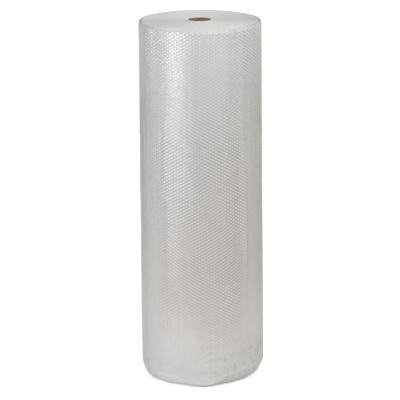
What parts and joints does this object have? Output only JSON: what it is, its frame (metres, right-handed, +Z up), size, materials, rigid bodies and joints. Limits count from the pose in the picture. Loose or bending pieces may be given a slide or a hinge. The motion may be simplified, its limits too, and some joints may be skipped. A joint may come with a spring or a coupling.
{
  "type": "bubble wrap roll",
  "caption": "Tall roll of clear bubble film wound on a paper tube, standing on end, with a soft pushed-in foot and a bore right through.",
  "frame": {"origin": "on the core's axis, in the plane of the foot that the roll stands on", "axes": "+Z up the core, -Y towards the front of the picture, +X to the right seen from the front"},
  "size_m": [0.4051, 0.4067, 1.202],
  "materials": {
    "core_paper": "matte",
    "bubble_film": "satin"
  },
  "bodies": {
    "root": {"core": "core_paper", "bubble_film": "bubble_film"}
  },
  "joints": []
}
